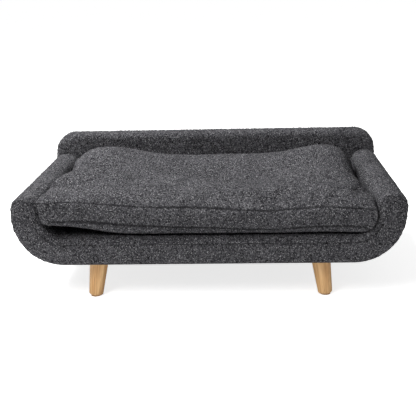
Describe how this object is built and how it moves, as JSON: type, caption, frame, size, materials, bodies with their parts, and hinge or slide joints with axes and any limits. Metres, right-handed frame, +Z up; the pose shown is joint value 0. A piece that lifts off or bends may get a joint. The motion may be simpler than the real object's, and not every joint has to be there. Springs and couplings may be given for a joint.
{
  "type": "raised pet sofa bed",
  "caption": "Low upholstered pet sofa: a U-shaped padded shell with round lower corners, a padded back, splayed wooden legs and a loose lift-out cushion.",
  "frame": {"origin": "on the floor, at the centre of the bed's overall width and depth", "axes": "+X to the right seen from the open front, +Y from the open front to the back panel, +Z up"},
  "size_m": [0.9, 0.55, 0.311],
  "materials": {
    "plywood": "matte",
    "wood": "matte",
    "leg_wood": "satin",
    "steel": "satin",
    "brass": "satin",
    "glide_plastic": "matte",
    "foam": "matte",
    "boucle": "matte",
    "dust_cloth": "matte",
    "zip_cloth": "matte",
    "zip_plastic": "satin",
    "zip_metal": "satin"
  },
  "bodies": {
    "frame": {"front_rib": "plywood", "middle_rib": "plywood", "rear_rib": "plywood", "arm_rail_left": "wood", "arm_rail_right": "wood", "floor_rails": "wood", "rail_screws": "steel", "inner_skin": "plywood", "outer_skin": "plywood", "leg_blocks": "wood", "leg_pads": "plywood", "threaded_inserts": "brass", "hanger_bolts": "steel", "leg_front_left": "leg_wood", "leg_front_right": "leg_wood", "leg_rear_left": "leg_wood", "leg_rear_right": "leg_wood", "foot_glides": "glide_plastic", "inner_foam": "foam", "outer_foam": "foam", "arm_roll_left": "foam", "arm_roll_right": "foam", "front_foam": "foam", "shell_cover": "boucle", "dust_cover": "dust_cloth", "dust_cover_staples": "steel", "back_board": "plywood", "back_front_foam": "foam", "back_rear_foam": "foam", "back_cover": "boucle", "back_bolts": "steel", "back_washers": "steel", "back_tee_nuts": "steel"},
    "cushion": {"cushion_filling": "foam", "cushion_top_panel": "boucle", "cushion_side_band": "boucle", "cushion_bottom_panel": "boucle", "zip_tape": "zip_cloth", "zip_coils": "zip_plastic", "zip_stops": "zip_metal"},
    "zip_slider": {"zip_slider": "zip_metal"},
    "zip_pull": {"zip_pull": "zip_metal"}
  },
  "joints": [
    {"name": "cushion_lift", "type": "slide", "parent": "frame", "child": "cushion", "axis": [0, 0, 1], "range_m": [0, 0.2]},
    {"name": "zip_slide", "type": "slide", "parent": "cushion", "child": "zip_slider", "axis": [-1, 0, 0], "range_m": [0, 0.5]},
    {"name": "zip_pull_turn", "type": "hinge", "parent": "zip_slider", "child": "zip_pull", "pos_m": [0.2511, 0.2079, 0.2144], "axis": [0, 0, -1], "range_deg": [0, 14]}
  ]
}
